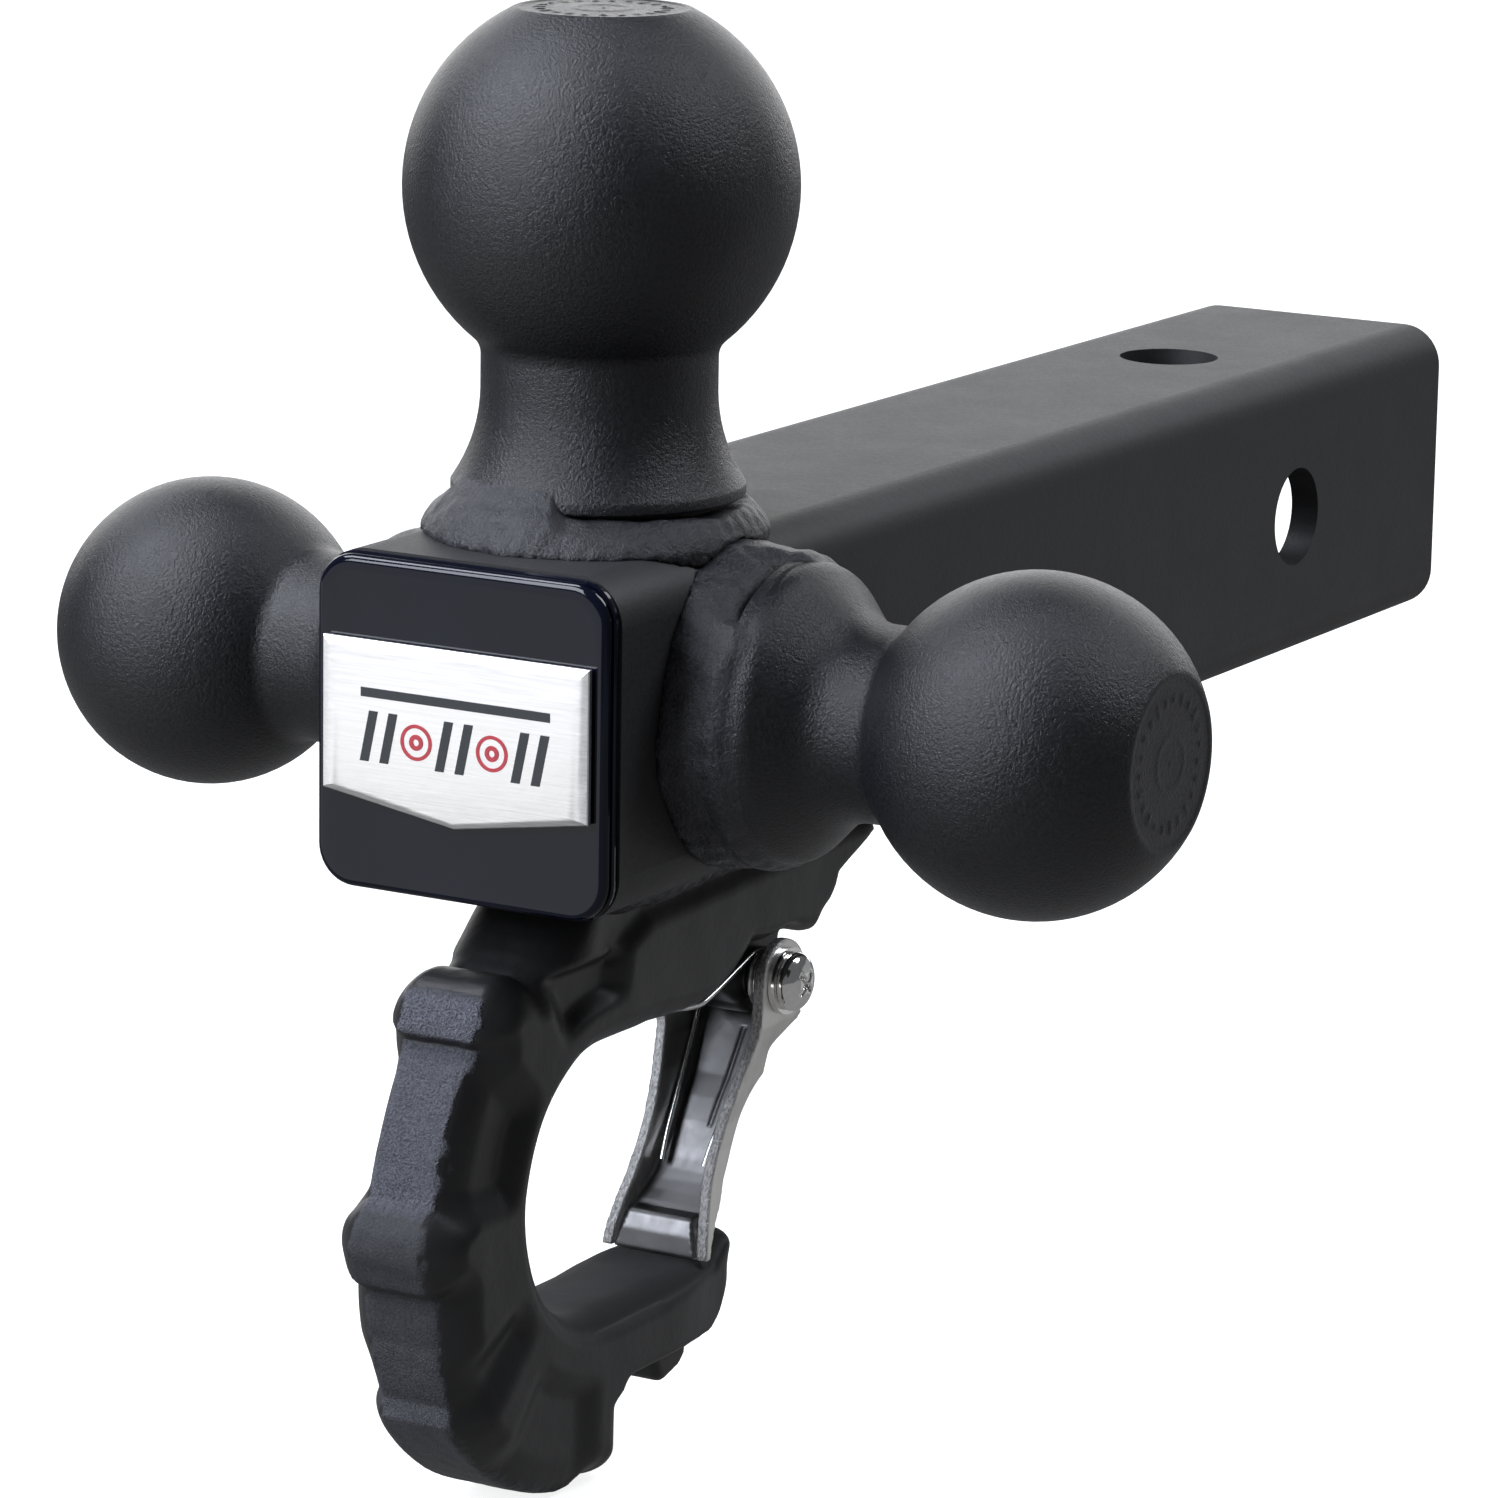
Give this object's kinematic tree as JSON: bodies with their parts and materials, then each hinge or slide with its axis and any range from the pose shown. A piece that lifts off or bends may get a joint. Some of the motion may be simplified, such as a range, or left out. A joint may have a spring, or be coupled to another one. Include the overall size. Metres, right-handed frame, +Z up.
{
  "type": "multi-ball receiver hitch mount with tow hook",
  "caption": "Receiver hitch ball mount: towing balls of different sizes welded round a square shank, over a forged tow hook closed by a sprung latch.",
  "frame": {"origin": "on the axis of the hitch-pin hole, on the centreline of the square shank", "axes": "+X along the shank towards the vehicle, +Y to the left seen from the balls (along the hitch pin), +Z up"},
  "size_m": [0.3044, 0.1858, 0.2216],
  "materials": {
    "shank_coat": "matt black powder coat",
    "ball_coat": "satin black powder coat",
    "weld_coat": "satin black powder coat over weld beads",
    "forging_coat": "satin black powder coat over a forging",
    "cap_plastic": "glossy black",
    "tape_foam": "matt foam tape",
    "badge_metal": "brushed",
    "latch_steel": "rolled stainless with sheared edges",
    "hardware_steel": "polished stainless",
    "spring_steel": "drawn stainless wire"
  },
  "bodies": {
    "mount": {"receiver_shank": "shank_coat", "end_cap": "cap_plastic", "badge_tape": "tape_foam", "badge_plate": "badge_metal", "top_ball": "ball_coat", "left_ball": "ball_coat", "right_ball": "ball_coat", "left_ball_weld": "weld_coat", "right_ball_weld": "weld_coat", "top_ball_weld": "weld_coat", "hook_weld_left": "weld_coat", "hook_weld_right": "weld_coat", "tow_hook": "forging_coat", "pivot_sleeve": "hardware_steel", "pivot_washer_right": "hardware_steel", "pivot_washer_left": "hardware_steel", "pivot_screw": "hardware_steel", "pivot_lock_nut": "hardware_steel", "latch_spring": "spring_steel"},
    "latch": {"hook_latch": "latch_steel"}
  },
  "joints": [
    {"name": "latch_pivot", "type": "hinge", "parent": "mount", "child": "latch", "pos_m": [-0.1474, 0, -0.0523], "axis": [0, 1, 0], "range_deg": [0, 50], "stiffness_Nm_per_rad": 0.12, "springref_deg": -34.38, "deforming": ["latch_spring"]}
  ]
}
